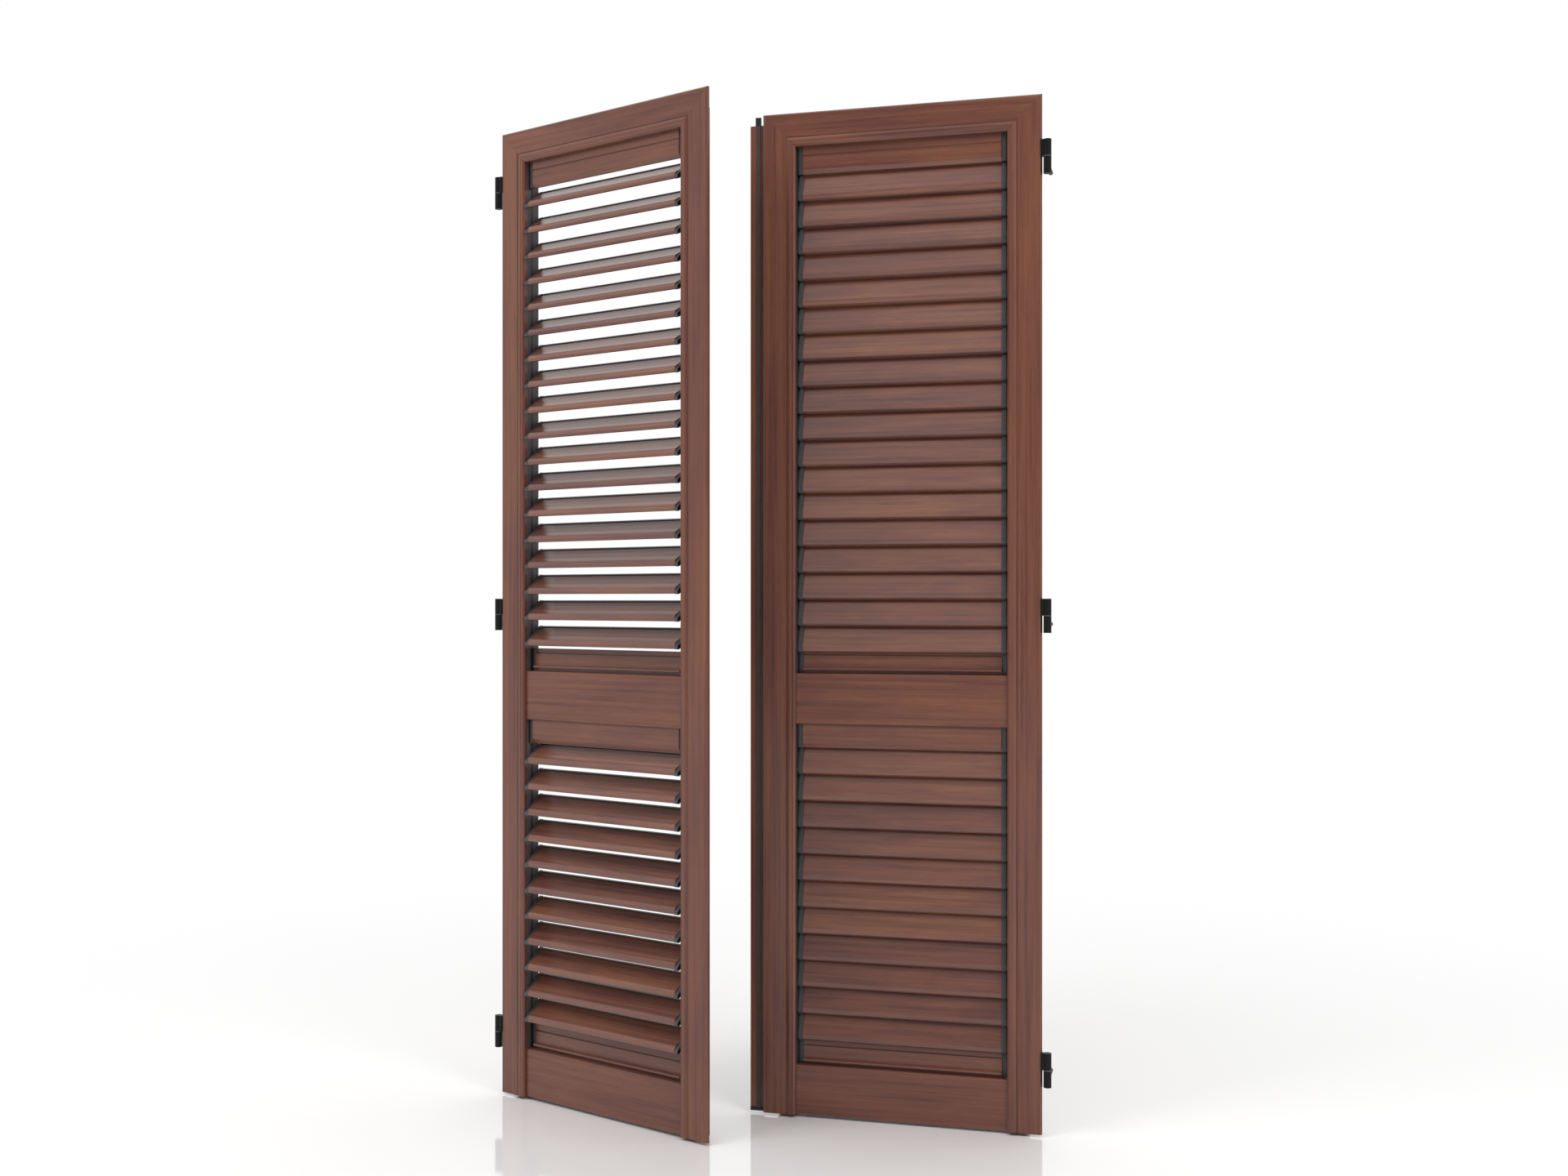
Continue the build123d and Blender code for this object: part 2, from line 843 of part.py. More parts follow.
# Left leaf: turning slats with their carriers and tilt rods
all_pivots = pivots("upper") + pivots("lower")
save(make_carrier(left, frame_width, 1, all_pivots), "left_hinge_side_carrier")
save(make_carrier(left, leaf_width - frame_width, -1, all_pivots), "left_meeting_side_carrier")
for panel in panels:
    for i, height in enumerate(pivots(panel), start=1):
        save(make_slat(left, panel, height, left_tilt), f"left_{panel}_slat_{i:02d}")
    save(make_tilt_rod(left, pivots(panel), left_tilt), f"left_{panel}_tilt_rod")

# Right leaf: closed slats and the astragal
joint_height = (mid_rail_bottom + mid_rail_top) / 2
save(make_fixed_slats(right, "upper", joint_height, panel_top), "right_upper_slats")
save(make_fixed_slats(right, "lower", 0, joint_height), "right_lower_slats")
save(make_astragal(right), "right_astragal")
save(make_gasket(right), "right_astragal_gasket")
save(make_end_blocks(right), "right_astragal_end_blocks")

# Espagnolette of the left leaf
save(make_guides(left), "espagnolette_guides")
save(make_lock_rod(left), "espagnolette_rod")
save(make_handle(left), "espagnolette_handle")
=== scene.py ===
import math

import bpy
import numpy as np
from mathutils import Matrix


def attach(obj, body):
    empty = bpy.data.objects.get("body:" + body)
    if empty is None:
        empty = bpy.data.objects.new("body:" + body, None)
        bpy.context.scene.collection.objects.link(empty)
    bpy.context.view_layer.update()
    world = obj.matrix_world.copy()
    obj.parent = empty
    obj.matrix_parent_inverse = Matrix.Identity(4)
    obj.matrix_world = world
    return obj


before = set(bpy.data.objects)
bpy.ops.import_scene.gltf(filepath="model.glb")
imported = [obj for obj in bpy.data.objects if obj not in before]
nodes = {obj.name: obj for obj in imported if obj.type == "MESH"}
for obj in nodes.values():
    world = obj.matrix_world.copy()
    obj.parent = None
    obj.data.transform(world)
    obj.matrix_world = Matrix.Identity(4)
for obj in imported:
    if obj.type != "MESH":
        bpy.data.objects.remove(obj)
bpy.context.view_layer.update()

sides = ("left", "right")
panels = ("upper", "lower")

# the leaves as the solids have them, in metres and degrees
leafLayout = {
    "width": 0.617,
    "bottom": -1.094,
    "axisX": 0.6335,  # hinge axis, left and right of the middle
    "axisY": -0.010,
    "axisOffset": 0.0115,  # hinge axis to outer edge of the leaf
    "axisDepth": 0.002,  # front face to hinge axis
    "hand": {"left": 1.0, "right": -1.0},  # the right leaf is mirrored
    "turn": {"left": 22.0, "right": 0.0},  # how far the leaf stands open
    "hingeHeights": (0.139, 1.107, 2.086),
}

# the slats: heights over the leaf's bottom, runs from its edge, and shares of the chord
slatLayout = {
    "upper": {"first": 2.0600, "pitch": 0.0590, "count": 18},
    "lower": {"first": 0.7870, "pitch": 0.0591, "count": 11},
    "depth": 0.025,  # front face to pivot
    "capStart": 0.0785,
    "bladeStart": 0.088,  # where the cap ends and the wood effect begins
    "chordShare": 1.076,  # of the pitch
    "pivotShare": 0.472,
    "tilt": {"left": 30.0, "right": 71.0},  # open and closed
}


# short helpers for shader nodes
def addNode(tree, kind, settings=None, values=None):
    node = tree.nodes.new(kind)
    for key, value in (settings or {}).items():
        setattr(node, key, value)
    for key, value in (values or {}).items():
        node.inputs[key].default_value = value
    return node


def maths(tree, operation, first, second=None, third=None):
    node = addNode(tree, "ShaderNodeMath", {"operation": operation})
    for place, value in enumerate((first, second, third)):
        if value is None:
            continue
        if isinstance(value, (int, float)):
            node.inputs[place].default_value = value
        else:
            tree.links.new(value, node.inputs[place])
    return node.outputs[0]


# first and second, each times its share, added up
def weighted(tree, first, firstShare, second, secondShare):
    return maths(
        tree,
        "ADD",
        maths(tree, "MULTIPLY", first, firstShare),
        maths(tree, "MULTIPLY", second, secondShare),
    )


def blendColours(tree, share, first, second, how="MIX"):
    node = addNode(tree, "ShaderNodeMix", {"data_type": "RGBA", "blend_type": how})
    for place, value in ((0, share), (6, first), (7, second)):
        if isinstance(value, (int, float)):
            node.inputs[place].default_value = value
        elif isinstance(value, tuple):
            node.inputs[place].default_value = (*value, 1.0)
        else:
            tree.links.new(value, node.inputs[place])
    return node.outputs[2]


def ramp(tree, factor, stops, interpolation="LINEAR"):
    node = addNode(tree, "ShaderNodeValToRGB")
    node.color_ramp.interpolation = interpolation
    elements = node.color_ramp.elements
    while len(elements) < len(stops):
        elements.new(0.5)
    for element, (place, colour) in zip(elements, stops):
        element.position = place
        element.color = (*colour, 1.0) if isinstance(colour, tuple) else (colour, colour, colour, 1.0)
    tree.links.new(factor, node.inputs[0])
    return node.outputs[0]


def newMaterial(name):
    material = bpy.data.materials.new(name)
    material.use_nodes = True
    return material, material.node_tree, material.node_tree.nodes["Principled BSDF"]


def stretchedNoise(tree, vector, scale, detail, roughness=0.55, distortion=0.0, shift=(0.0, 0.0, 0.0)):
    mapping = addNode(tree, "ShaderNodeMapping", values={"Scale": scale, "Location": shift})
    tree.links.new(vector, mapping.inputs["Vector"])
    noise = addNode(
        tree,
        "ShaderNodeTexNoise",
        values={"Scale": 1.0, "Detail": detail, "Roughness": roughness, "Distortion": distortion},
    )
    tree.links.new(mapping.outputs[0], noise.inputs["Vector"])
    return noise.outputs["Fac"]


def addBump(tree, height, strength, distance):
    bump = addNode(tree, "ShaderNodeBump", values={"Strength": strength, "Distance": distance})
    tree.links.new(height, bump.inputs["Height"])
    return bump


# coordinates of one leaf: x along it from the hinge axis, y into the wall from the axis, z up
def leafCoordinates(tree, side):
    turn = math.radians(leafLayout["turn"][side])
    axisX, axisY = leafLayout["axisX"], leafLayout["axisY"]
    location = (
        axisX * math.cos(turn) + axisY * math.sin(turn),
        axisX * math.sin(turn) - axisY * math.cos(turn),
        -leafLayout["bottom"],
    )
    place = addNode(tree, "ShaderNodeTexCoord")
    mapping = addNode(
        tree,
        "ShaderNodeMapping",
        values={
            "Location": location,
            "Rotation": (0.0, 0.0, turn),
            "Scale": (leafLayout["hand"][side], 1.0, 1.0),
        },
    )
    tree.links.new(place.outputs["Object"], mapping.inputs["Vector"])
    axes = addNode(tree, "ShaderNodeSeparateXYZ")
    tree.links.new(mapping.outputs[0], axes.inputs[0])
    return mapping.outputs[0], axes.outputs


woodLook = {
    "tones": (
        (0.27, (0.112, 0.042, 0.036)),  # plum zones
        (0.42, (0.152, 0.056, 0.041)),
        (0.53, (0.180, 0.067, 0.043)),  # the middle red brown
        (0.66, (0.216, 0.084, 0.045)),  # warm orange zones
        (0.80, (0.186, 0.070, 0.044)),
    ),
    # cycles a metre along and across the grain, detail, roughness and distortion of each noise
    "figure": {"cycles": (1.9, 12.0), "noise": (5.0, 0.55, 0.9)},
    "slatFigure": {"cycles": (3.8, 26.0), "noise": (5.0, 0.55, 0.9)},
    "streak": {"cycles": (2.0, 120.0), "noise": (5.0, 0.62, 0.25)},
    "pore": {"cycles": (22.0, 820.0), "noise": (2.0, 0.5, 0.0)},
    "shift": {"left": (3.1, 1.7, 0.4), "right": (0.0, 0.0, 0.0)},
    "toneShares": (0.62, 0.38),  # of figure and streak
    "streakShade": ((0.33, 0.80), (0.50, 1.0), (0.70, 1.06)),
    "poreShade": ((0.34, 0.84), (0.46, 1.0)),
    "slatVariety": 0.20,
    "slatSeed": {"left": 7.0, "right": 31.0},
    "roughness": (0.18, 0.30),
    "specular": {"frame": 0.48, "slat": 0.72, "filler": 0.55},
    "bump": (0.12, 0.0004),  # strength and depth
    "poreBump": 0.6,
    "rounding": {"frame": 0.0014, "slat": 0.0012, "filler": 0.0010},
    "roundingSamples": 4,
}

# dark plastic on the wood nodes, and a near-black painted shade for the shadow in slots and gaps: places
# from the leaf's edge, and shares of the chord
plasticLook = {
    "carrier": (0.056, 0.048, 0.052),
    # painted shade: near black, stands for the shadow in the gap between carrier and end cap, and in the
    # carriers' pin groove
    "slot": (0.005, 0.005, 0.006),
    "cap": (0.056, 0.049, 0.053),
    "seal": (0.026, 0.023, 0.024),
    "roughness": 0.50,
    "slotStart": 0.07405,
    "rampSpan": 0.1,  # the length that a ramp from 0 to 1 covers
    "sealWidth": 0.066,
    "sealHeight": 0.132,
}


def grainNoise(tree, spot, look, upright, shift):
    along, across = look["cycles"]
    scale = (across, across, along) if upright else (along, across, across)
    return stretchedNoise(tree, spot, scale, *look["noise"], shift)


# number of the slat at a height, counted down from the first, and the height over its pivot
def slatRow(tree, height, panel):
    look = slatLayout[panel]
    count = maths(tree, "DIVIDE", maths(tree, "SUBTRACT", look["first"], height), look["pitch"])
    row = maths(tree, "FLOOR", maths(tree, "ADD", count, 0.5))
    rise = maths(tree, "MULTIPLY", maths(tree, "SUBTRACT", row, count), look["pitch"])
    return row, rise


# 1 on the dark seal along the top of a slat's raised back edge, 0 elsewhere
def backSeal(tree, depth, rise, side, panel):
    turn = math.radians(slatLayout["tilt"][side])
    chord = slatLayout["chordShare"] * slatLayout[panel]["pitch"]
    inward = maths(tree, "SUBTRACT", depth, slatLayout["depth"] - leafLayout["axisDepth"])
    toNose = weighted(tree, inward, -math.cos(turn), rise, -math.sin(turn))
    outward = weighted(tree, inward, -math.sin(turn), rise, math.cos(turn))
    backEdge = chord * (plasticLook["sealWidth"] - slatLayout["pivotShare"])
    atBack = maths(tree, "LESS_THAN", toNose, backEdge)
    raised = maths(tree, "GREATER_THAN", outward, chord * plasticLook["sealHeight"])
    return maths(tree, "MULTIPLY", atBack, raised)


# 1 on the plastic ends of a slat or filler, and their colours: carrier, painted shade for the shadow gap
# before the end cap, and end cap
def plasticEnds(tree, along):
    look = plasticLook
    run = maths(tree, "SUBTRACT", along, leafLayout["axisOffset"])
    fromEnd = maths(tree, "MINIMUM", run, maths(tree, "SUBTRACT", leafLayout["width"], run))
    stops = ((0.0, "carrier"), (look["slotStart"], "slot"), (slatLayout["capStart"], "cap"))
    colours = ramp(
        tree,
        maths(tree, "MULTIPLY", fromEnd, 1.0 / look["rampSpan"]),
        tuple((place / look["rampSpan"], look[piece]) for place, piece in stops),
        "CONSTANT",
    )
    return maths(tree, "LESS_THAN", fromEnd, slatLayout["bladeStart"]), colours


# foil printed with wood grain: three noises, stretched along the grain, give figure, streaks and pores;
# kind is frame, slat or filler, and slats and fillers have dark plastic ends on the same node
def woodFinish(name, side, kind="frame", upright=False, panel=None):
    look = woodLook
    material, tree, shader = newMaterial(name)
    spot, (along, depth, height) = leafCoordinates(tree, side)
    shift = look["shift"][side]
    clouds = look["slatFigure"] if kind == "slat" else look["figure"]
    figure = grainNoise(tree, spot, clouds, upright, shift)
    streak = grainNoise(tree, spot, look["streak"], upright, shift)
    pore = grainNoise(tree, spot, look["pore"], upright, shift)
    figureShare, streakShare = look["toneShares"]
    tone = weighted(tree, figure, figureShare, streak, streakShare)
    if kind == "slat":  # each slat is cut from another stretch of foil
        row, rise = slatRow(tree, height, panel)
        chance = addNode(tree, "ShaderNodeTexWhiteNoise", {"noise_dimensions": "1D"})
        tree.links.new(maths(tree, "ADD", row, look["slatSeed"][side]), chance.inputs["W"])
        centred = maths(tree, "SUBTRACT", chance.outputs["Value"], 0.5)
        tone = maths(tree, "ADD", tone, maths(tree, "MULTIPLY", centred, look["slatVariety"]))
    colour = ramp(tree, tone, look["tones"])
    colour = blendColours(tree, 1.0, colour, ramp(tree, streak, look["streakShade"]), "MULTIPLY")
    colour = blendColours(tree, 1.0, colour, ramp(tree, pore, look["poreShade"]), "MULTIPLY")
    low, high = look["roughness"]
    roughness = maths(tree, "ADD", maths(tree, "MULTIPLY", streak, high - low), low)
    if kind == "slat":
        seal = backSeal(tree, depth, rise, side, panel)
        colour = blendColours(tree, seal, colour, plasticLook["seal"])
    if kind != "frame":
        plastic, plasticColour = plasticEnds(tree, along)
        colour = blendColours(tree, plastic, colour, plasticColour)
        rough = addNode(tree, "ShaderNodeMix", {"data_type": "FLOAT"}, {3: plasticLook["roughness"]})
        tree.links.new(plastic, rough.inputs[0])
        tree.links.new(roughness, rough.inputs[2])
        roughness = rough.outputs[0]
    tree.links.new(colour, shader.inputs["Base Color"])
    tree.links.new(roughness, shader.inputs["Roughness"])
    shader.inputs["Specular IOR Level"].default_value = look["specular"][kind]
    relief = maths(tree, "ADD", maths(tree, "MULTIPLY", pore, look["poreBump"]), streak)
    bump = addBump(tree, relief, *look["bump"])
    # rounds the sharp corners of the mouldings and the noses of the slats
    rounding = {"Radius": look["rounding"][kind]}
    corner = addNode(tree, "ShaderNodeBevel", {"samples": look["roundingSamples"]}, rounding)
    tree.links.new(corner.outputs[0], bump.inputs["Normal"])
    tree.links.new(bump.outputs[0], shader.inputs["Normal"])
    return material


# slat carriers: moulded plastic with a fine spark texture, and painted shade in the groove where the slat
# pins sit
carrierLook = {
    "grit": 900.0,
    "gritDetail": 2.0,
    "tones": ((0.3, (0.082, 0.070, 0.074)), (0.7, (0.112, 0.098, 0.102))),
    "gloss": ((0.3, 0.42), (0.7, 0.58)),
    "halfGroove": 0.0024,
    "bump": (0.12, 0.0002),
}


def carrierFinish(name, side):
    look = carrierLook
    material, tree, shader = newMaterial(name)
    spot, (_, depth, _) = leafCoordinates(tree, side)
    grit = stretchedNoise(tree, spot, (look["grit"],) * 3, look["gritDetail"])
    pinDepth = slatLayout["depth"] - leafLayout["axisDepth"]
    fromPins = maths(tree, "ABSOLUTE", maths(tree, "SUBTRACT", depth, pinDepth))
    # painted shade: the band at the pins' depth is coloured near black for the shadow inside the groove
    grooveShadeMask = maths(tree, "LESS_THAN", fromPins, look["halfGroove"])
    colour = blendColours(tree, grooveShadeMask, ramp(tree, grit, look["tones"]), plasticLook["slot"])
    tree.links.new(colour, shader.inputs["Base Color"])
    tree.links.new(ramp(tree, grit, look["gloss"]), shader.inputs["Roughness"])
    bump = addBump(tree, grit, *look["bump"])
    tree.links.new(bump.outputs[0], shader.inputs["Normal"])
    return material


# small plain pieces: a dark and a light tone, and gloss, mixed by a fine and a coarse noise
plainLook = {
    "cap": {"name": "cap_plastic", "dark": (0.045, 0.039, 0.043), "light": (0.064, 0.056, 0.061)},
    "black": {
        "name": "black_powder_coat",
        "dark": (0.005, 0.005, 0.005),
        "light": (0.009, 0.009, 0.008),
        "grain": 1500.0,
        "specular": 0.22,
    },
    "seal": {
        "name": "soft_seal",
        "dark": (0.046, 0.040, 0.038),
        "light": (0.064, 0.056, 0.054),
        "roughness": 0.72,
    },
    "endBlock": {
        "name": "end_block_plastic",
        "dark": (0.012, 0.012, 0.013),
        "light": (0.020, 0.020, 0.021),
    },
    "cast": {
        "name": "cast_cleat",
        "dark": (0.40, 0.40, 0.40),
        "light": (0.56, 0.56, 0.55),
        "metallic": 1.0,
    },
    "nylon": {
        "name": "washer_nylon",
        "dark": (0.10, 0.10, 0.095),
        "light": (0.15, 0.15, 0.14),
        "roughness": 0.45,
    },
    "zinc": {
        "name": "screw_zinc",
        "dark": (0.30, 0.30, 0.31),
        "light": (0.44, 0.44, 0.44),
        "roughness": 0.38,
        "metallic": 1.0,
    },
}
plainNoise = {
    "wear": 38.0,
    "detail": 3.0,
    "shares": (0.5, 0.5),  # of grain and wear
    "toneStops": (0.35, 0.65),
    "glossStops": (0.3, 0.7),
    "glossSpread": 0.07,
    "bump": (0.15, 0.0002),
}


def plainFinish(name, dark, light, roughness=0.5, metallic=0.0, grain=600.0, specular=0.5):
    look = plainNoise
    material, tree, shader = newMaterial(name)
    spot = addNode(tree, "ShaderNodeTexCoord").outputs["Object"]
    grit = stretchedNoise(tree, spot, (grain,) * 3, look["detail"])
    wear = stretchedNoise(tree, spot, (look["wear"],) * 3, look["detail"])
    grainShare, wearShare = look["shares"]
    mixed = weighted(tree, grit, grainShare, wear, wearShare)
    spread = look["glossSpread"]
    tones = tuple(zip(look["toneStops"], (dark, light)))
    gloss = tuple(zip(look["glossStops"], (roughness - spread, roughness + spread)))
    tree.links.new(ramp(tree, mixed, tones), shader.inputs["Base Color"])
    tree.links.new(ramp(tree, mixed, gloss), shader.inputs["Roughness"])
    shader.inputs["Metallic"].default_value = metallic
    shader.inputs["Specular IOR Level"].default_value = specular
    bump = addBump(tree, grit, *look["bump"])
    tree.links.new(bump.outputs[0], shader.inputs["Normal"])
    return material


finishes = {key: plainFinish(**look) for key, look in plainLook.items()}
finishes["carrier"] = carrierFinish("carrier_plastic", "left")
for side in sides:
    finishes[side, "upright"] = woodFinish(side + "_upright_grain", side, upright=True)
    finishes[side, "rail"] = woodFinish(side + "_rail_grain", side)
    finishes[side, "filler"] = woodFinish(side + "_filler_grain", side, "filler")
    for panel in panels:
        finishes[side, panel] = woodFinish("%s_%s_slat_grain" % (side, panel), side, "slat", panel=panel)

# the first of these words in a node's name gives its finish
plainWords = {
    "wall_pintles": "black",
    "knuckles": "black",
    "espagnolette": "black",
    "gasket": "seal",
    "end_blocks": "endBlock",
    "cleats": "cast",
    "carrier": "carrier",
    "tilt_rod": "cap",
}
woodWords = {
    "upper_slat": "upper",
    "lower_slat": "lower",
    "filler": "filler",
    "stile": "upright",
    "astragal": "upright",
    "rail": "rail",
}


def finishFor(name):
    for word, finish in plainWords.items():
        if word in name:
            return finishes[finish]
    side = name.split("_")[0]
    return next(finishes[side, finish] for word, finish in woodWords.items() if word in name)


for name, node in nodes.items():
    node.data.materials.clear()
    node.data.materials.append(finishFor(name))
print("finishes: %d materials" % len(finishes))


def meshPiece(name, points, faces, material, body, smooth=False):
    mesh = bpy.data.meshes.new(name)
    mesh.from_pydata(points.reshape(-1, 3).tolist(), [], faces)
    mesh.update()
    piece = bpy.data.objects.new(name, mesh)
    bpy.context.scene.collection.objects.link(piece)
    mesh.materials.append(material)
    mesh.polygons.foreach_set("use_smooth", np.full(len(mesh.polygons), smooth))
    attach(piece, body)
    return piece


# faces of like solids, each a row of closed rings of points: quads between the rings, and a face on
# each end unless the row is a loop; on the right leaf, which is mirrored, they are wound the other way
def ringFaces(solids, rings, points, side="left", loop=False):
    steps = np.meshgrid(np.arange(rings if loop else rings - 1), np.arange(points), indexing="ij")
    i, j = (grid.ravel() for grid in steps)
    nextI, nextJ = (i + 1) % rings, (j + 1) % points
    corners = (i * points + j, i * points + nextJ, nextI * points + nextJ, nextI * points + j)
    shapes = [np.stack(corners, axis=-1)]
    if not loop:
        around = np.arange(points)
        shapes.append(np.stack((around[::-1], around + (rings - 1) * points)))
    firstPoints = np.arange(solids)[:, None, None] * rings * points
    winding = 1 if side == "left" else -1
    faces = []
    for shape in shapes:
        faces += (firstPoints + shape).reshape(-1, shape.shape[1])[:, ::winding].tolist()
    return faces


# place of a spot on a leaf: run from its outer edge, depth from its front face, height from its bottom
def onLeaf(side, run, depth, height):
    layout = leafLayout
    turn = math.radians(layout["turn"][side])
    along = run + layout["axisOffset"]
    inward = depth - layout["axisDepth"]
    x = layout["hand"][side] * (along * math.cos(turn) - layout["axisX"]) + inward * math.sin(turn)
    y = layout["axisY"] - along * math.sin(turn) + inward * math.cos(turn)
    return np.stack(np.broadcast_arrays(x, y, layout["bottom"] + height), axis=-1)


# depth and height of a slat section's points at the first slat of a panel, turned by the slat's tilt;
# the section is in shares of the chord, from the back edge to the nose and outwards
def firstSlat(section, side, panel):
    layout = slatLayout
    chord = layout["chordShare"] * layout[panel]["pitch"]
    tilt = math.radians(layout["tilt"][side])
    toNose = (section[:, 0] - layout["pivotShare"]) * chord
    outward = section[:, 1] * chord
    depth = layout["depth"] - toNose * math.cos(tilt) - outward * math.sin(tilt)
    height = layout[panel]["first"] + outward * math.cos(tilt) - toNose * math.sin(tilt)
    return depth, height


# end caps of the closed slats: the cap's outline, a little proud of the blade, carried along the slat
endCaps = {
    "outline": (  # shares of the chord
        (-0.012, -0.012),
        (-0.012, 0.167),
        (0.078, 0.167),
        (0.800, 0.112),
        (0.905, 0.085),
        (0.981, 0.021),
        (1.012, -0.030),
        (1.010, -0.072),
        (0.950, -0.120),
    ),
}


def closedCaps(panel):
    outline = np.array(endCaps["outline"])
    depth, height = firstSlat(outline, "right", panel)
    drops = slatLayout[panel]["pitch"] * np.arange(slatLayout[panel]["count"])
    start, end, width = slatLayout["capStart"], slatLayout["bladeStart"], leafLayout["width"]
    runs = np.array([[start, end], [width - end, width - start]])
    # the grid's axes are slat, end of the slat, ring and point
    points = onLeaf("right", runs[None, :, :, None], depth, height - drops[:, None, None, None])
    faces = ringFaces(len(drops) * len(runs), 2, len(outline), "right")
    meshPiece("right_%s_slat_caps" % panel, points, faces, finishes["cap"], "right_leaf")


for panel in panels:
    closedCaps(panel)
print("caps: on the closed slats")

# top faces of the open slats: the face rises in a soft curve to the lip at the back edge,
# and the rise falls off with the square of the distance from the lip
camber = {
    "start": 0.063,  # shares of the chord
    "reach": 0.557,
    "rise": 0.057,
    "face": (0.079, 0.094),  # height of the flat face at the lip and at the bend of the nose
    "bend": 0.842,
    "sink": 0.004,
    "steps": 13,
    "inset": 0.0001,  # from the end of the blade, in metres
}


def openSlatTops(panel):
    look = camber
    t = np.linspace(0.0, 1.0, look["steps"])
    along = look["start"] + look["reach"] * t
    low, high = look["face"]
    face = low + (high - low) * (along - look["start"]) / (look["bend"] - look["start"])
    curve = np.stack((along, face + look["rise"] * (1.0 - t) ** 2), axis=-1)
    foot = np.stack((along, face - look["sink"]), axis=-1)[[-1, 0]]
    section = np.concatenate((curve, foot))
    depth, height = firstSlat(section, "left", panel)
    start = slatLayout["bladeStart"] + look["inset"]
    runs = np.array([start, leafLayout["width"] - start])
    points = onLeaf("left", runs[:, None], depth, height)
    faces = ringFaces(1, len(runs), len(section))
    for index in range(slatLayout[panel]["count"]):
        body = "left_%s_slat_%02d" % (panel, index + 1)
        place = points - np.array([0.0, 0.0, slatLayout[panel]["pitch"] * index])
        meshPiece(body + "_top", place, faces, finishes["left", panel], body)


for panel in panels:
    openSlatTops(panel)
print("camber: on the open slats")

# hinge washers: a section with a half-round rim, turned about the hinge axis
washers = {"inner": 0.0052, "outer": 0.0088, "rim": 0.0005, "height": 0.0014, "rimSteps": 9, "steps": 40}


def hingeWashers(side):
    look = washers
    t = np.linspace(math.pi / 2, -math.pi / 2, look["rimSteps"])
    half = look["height"] / 2
    rim = look["outer"] - look["rim"] + look["rim"] * np.cos(t)
    radius = np.concatenate(([look["inner"]], rim, [look["inner"]]))
    rise = np.concatenate(([half], half * np.sin(t), [-half]))
    around = np.linspace(0.0, 2 * math.pi, look["steps"], endpoint=False)[:, None]
    x = -leafLayout["hand"][side] * leafLayout["axisX"] + radius * np.cos(around)
    y = leafLayout["axisY"] + radius * np.sin(around)
    heights = leafLayout["bottom"] + np.array(leafLayout["hingeHeights"])
    points = np.stack(np.broadcast_arrays(x, y, heights[:, None, None] + rise), axis=-1)
    faces = ringFaces(len(heights), len(around), len(radius), loop=True)
    name = side + "_hinge_washers"
    meshPiece(name, points, faces, finishes["nylon"], "wall_pintles", smooth=True)


for side in sides:
    hingeWashers(side)
print("washers: on the hinges")

# screw heads: a low dome with a round socket, a profile turned about an axis that points away from the room
screws = {
    "radius": 0.0022,
    "rise": 0.0010,
    "radiusShares": (0.36, 0.36, 0.44, 0.80, 0.96, 1.00),
    "riseShares": (0.30, 0.92, 1.00, 0.80, 0.45, -0.30),
    "steps": 18,
    "guides": {"runs": (0.5485, 0.5715), "heights": (0.246, 0.258, 1.986, 1.998), "depth": 0.049},
    "plates": {"runs": (0.009, 0.020), "offsets": (-0.024, 0.024), "depth": 0.0105},
}


def screwHeads(name, side, runs, heights, depth):
    look = screws
    around = np.linspace(0.0, 2 * math.pi, look["steps"], endpoint=False)
    radius = look["radius"] * np.array(look["radiusShares"])[:, None]
    rise = look["rise"] * np.array(look["riseShares"])[:, None]
    runGrid, heightGrid = np.meshgrid(runs, heights, indexing="ij")
    points = onLeaf(
        side,
        runGrid.reshape(-1, 1, 1) + radius * np.cos(around),
        depth + rise,
        heightGrid.reshape(-1, 1, 1) + radius * np.sin(around),
    )
    faces = ringFaces(runGrid.size, len(radius), look["steps"], side)
    meshPiece(name, points, faces, finishes["zinc"], side + "_leaf")


screwHeads("left_guide_screws", "left", **screws["guides"])
plates = screws["plates"]
plateHeights = np.add.outer(leafLayout["hingeHeights"], plates["offsets"]).ravel()
for side in sides:
    screwHeads(side + "_plate_screws", side, plates["runs"], plateHeights, plates["depth"])
print("screws: on the guides and the hinge plates")

# floor, camera and light
studio = {
    "floor": (0.885, 0.875, 0.87),
    "floorGloss": 0.07,
    "floorIndex": 2.3,
    "floorFade": (0.75, 3.4),  # distance from the leaves over which it turns white
    "floorDrop": 0.006,
    "floorReach": 12.0,
    "lens": 38.06,
    "sensor": 36.0,
    "sight": 100.0,
    "eye": (0.996, -3.567, 0.047),
    "turn": 14.85,
    "shiftY": 0.00755,
    "lamps": {
        "left_lamp": {"place": (-3.2, -3.4, 3.6), "size": (2.2, 1.8), "power": 95.0},
        "right_lamp": {"place": (3.4, -2.6, 2.6), "size": (1.8, 2.2), "power": 70.0},
    },
    "dome": (0.22, 1.02),  # plain light at the horizon, and what is added overhead
    "frontGlow": 0.17,  # what glossy faces see low behind the viewer
    "sideRise": (-0.95, -0.20),  # it grows to white towards the sides
    "highRise": (0.32, 0.72),  # and upwards
}


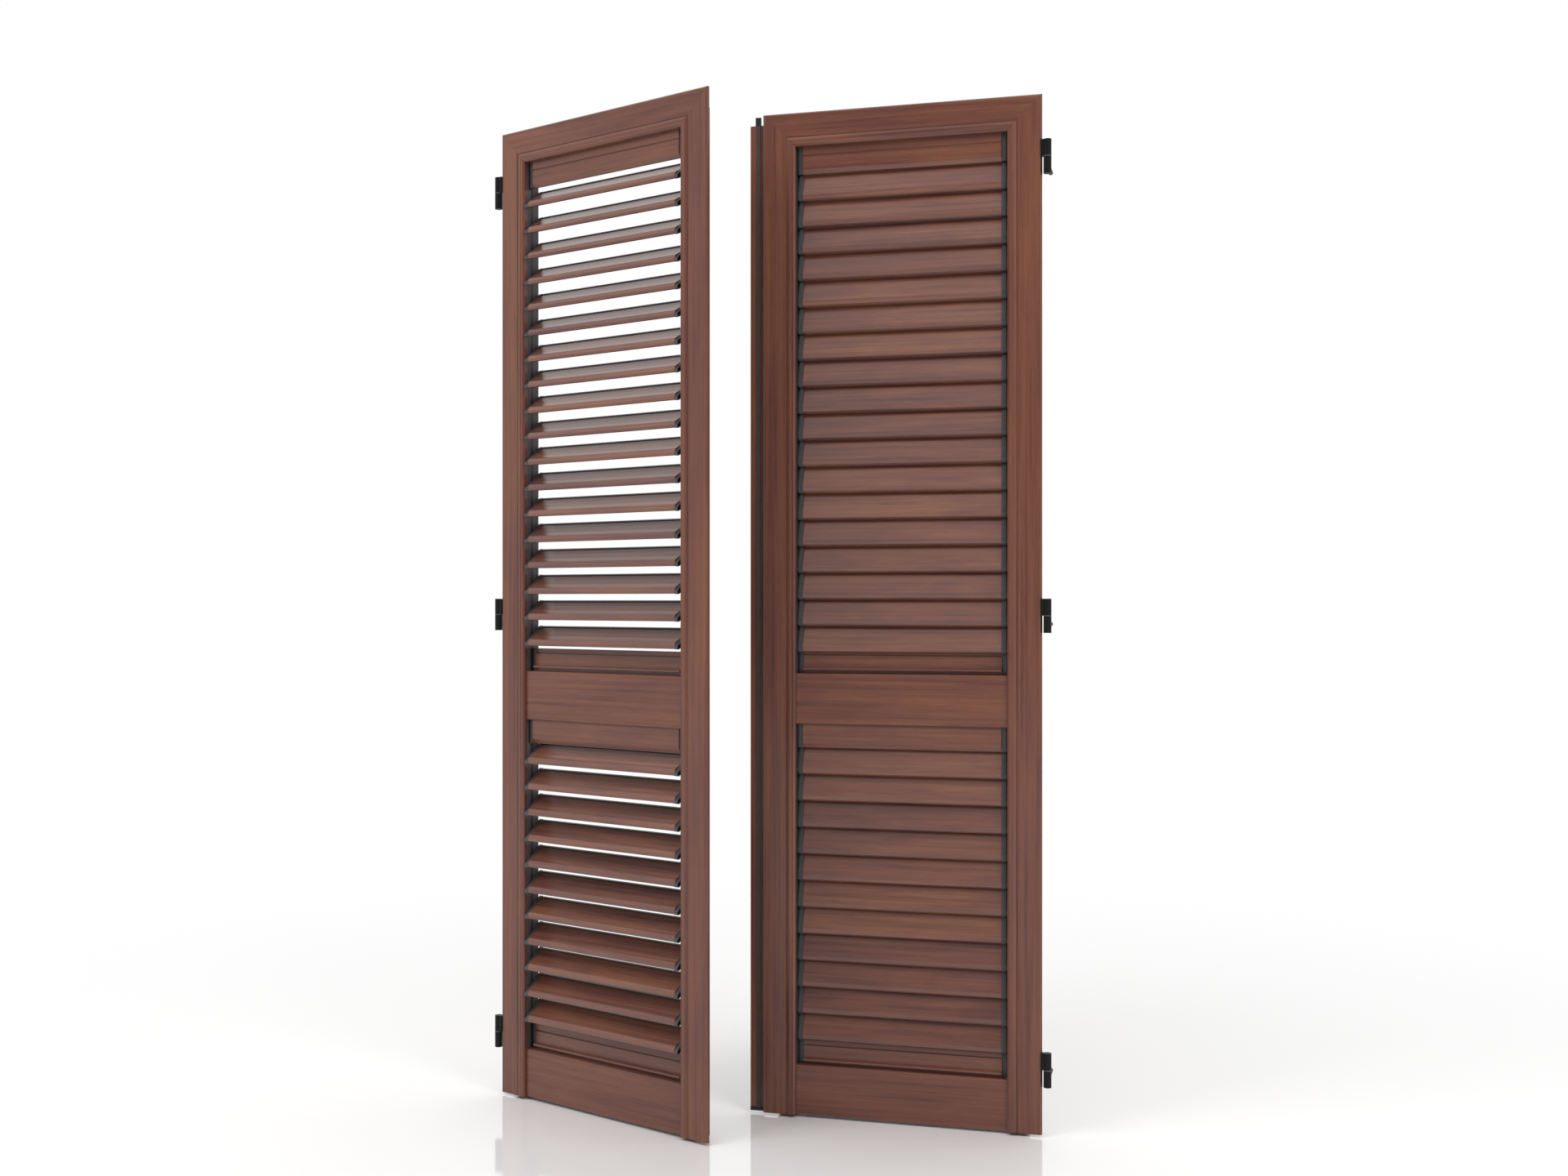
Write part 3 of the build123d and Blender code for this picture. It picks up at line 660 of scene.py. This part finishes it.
# a flat square that turns white with the distance, as the background is
def buildFloor():
    level = leafLayout["bottom"] - studio["floorDrop"]
    corners = np.array([(-1.0, -1.0), (1.0, -1.0), (1.0, 1.0), (-1.0, 1.0)]) * studio["floorReach"]
    points = np.column_stack((corners, np.full(len(corners), level)))
    mesh = bpy.data.meshes.new("floor")
    mesh.from_pydata(points.tolist(), [], [list(range(len(points)))])
    floor = bpy.data.objects.new("floor", mesh)
    bpy.context.scene.collection.objects.link(floor)
    material, tree, shader = newMaterial("pale_floor")
    shader.inputs["Base Color"].default_value = (*studio["floor"], 1.0)
    shader.inputs["Roughness"].default_value = studio["floorGloss"]
    shader.inputs["IOR"].default_value = studio["floorIndex"]
    place = addNode(tree, "ShaderNodeTexCoord")
    distance = addNode(tree, "ShaderNodeVectorMath", {"operation": "DISTANCE"}, {1: (0.0, 0.0, level)})
    tree.links.new(place.outputs["Object"], distance.inputs[0])
    near, far = studio["floorFade"]
    away = addNode(tree, "ShaderNodeMapRange", {"interpolation_type": "SMOOTHSTEP"}, {1: near, 2: far})
    tree.links.new(distance.outputs["Value"], away.inputs[0])
    path = addNode(tree, "ShaderNodeLightPath")
    seen = maths(tree, "MAXIMUM", path.outputs["Is Camera Ray"], path.outputs["Is Glossy Ray"])
    share = maths(tree, "MULTIPLY", away.outputs[0], seen)
    white = addNode(tree, "ShaderNodeEmission", values={"Strength": 1.0})
    blend = addNode(tree, "ShaderNodeMixShader")
    tree.links.new(share, blend.inputs[0])
    tree.links.new(shader.outputs[0], blend.inputs[1])
    tree.links.new(white.outputs[0], blend.inputs[2])
    tree.links.new(blend.outputs[0], tree.nodes["Material Output"].inputs["Surface"])
    mesh.materials.append(material)


def buildCamera():
    camera = bpy.data.cameras.new("camera")
    camera.lens = studio["lens"]
    camera.sensor_width = studio["sensor"]
    camera.shift_y = studio["shiftY"]
    camera.clip_end = studio["sight"]
    eye = bpy.data.objects.new("camera", camera)
    eye.location = studio["eye"]
    eye.rotation_euler = (math.pi / 2, 0.0, math.radians(studio["turn"]))
    bpy.context.scene.collection.objects.link(eye)
    bpy.context.scene.camera = eye


# soft lamp that points at the middle of the leaves
def addLamp(name, lampLook):
    lamp = bpy.data.lights.new(name, "AREA")
    lamp.shape = "RECTANGLE"
    lamp.size, lamp.size_y = lampLook["size"]
    lamp.energy = lampLook["power"]
    holder = bpy.data.objects.new(name, lamp)
    x, y, z = lampLook["place"]
    holder.location = (x, y, z)
    holder.rotation_euler = (math.atan2(math.hypot(x, y), z), 0.0, math.atan2(x, -y))
    holder.visible_glossy = False  # the shiny floor shows no lamp
    bpy.context.scene.collection.objects.link(holder)


# white for the camera, a plain dome for the surfaces, and for reflections white above,
# on the sides and behind the leaves, and dimmer where the viewer stands
def buildLight():
    world = bpy.data.worlds.new("studio")
    bpy.context.scene.world = world
    world.use_nodes = True
    tree = world.node_tree
    tree.nodes.clear()
    path = addNode(tree, "ShaderNodeLightPath")
    place = addNode(tree, "ShaderNodeTexCoord")
    axes = addNode(tree, "ShaderNodeSeparateXYZ")
    tree.links.new(place.outputs["Generated"], axes.inputs[0])
    glows = []
    for axis, key in ((1, "sideRise"), (2, "highRise")):
        low, high = studio[key]
        limits = {1: low, 2: high, 3: studio["frontGlow"]}
        glow = addNode(tree, "ShaderNodeMapRange", {"interpolation_type": "SMOOTHSTEP"}, limits)
        tree.links.new(axes.outputs[axis], glow.inputs[0])
        glows.append(glow.outputs[0])
    glossy = path.outputs["Is Glossy Ray"]
    shiny = maths(tree, "MULTIPLY", glossy, maths(tree, "MAXIMUM", *glows))
    seen = maths(tree, "MAXIMUM", path.outputs["Is Camera Ray"], path.outputs["Is Transmission Ray"])
    plain = maths(tree, "SUBTRACT", 1.0, maths(tree, "MAXIMUM", seen, glossy))
    level, overhead = studio["dome"]
    height = maths(tree, "MAXIMUM", axes.outputs[2], 0.0)
    light = maths(tree, "MULTIPLY", plain, maths(tree, "MULTIPLY_ADD", height, overhead, level))
    strength = maths(tree, "ADD", maths(tree, "MAXIMUM", seen, shiny), light)
    background = addNode(tree, "ShaderNodeBackground", values={"Color": (1.0, 1.0, 1.0, 1.0)})
    tree.links.new(strength, background.inputs["Strength"])
    output = addNode(tree, "ShaderNodeOutputWorld")
    tree.links.new(background.outputs[0], output.inputs[0])
    for name, lampLook in studio["lamps"].items():
        addLamp(name, lampLook)


buildFloor()
buildCamera()
buildLight()
bpy.context.scene.view_settings.view_transform = "Standard"
print("studio: floor, camera and light")
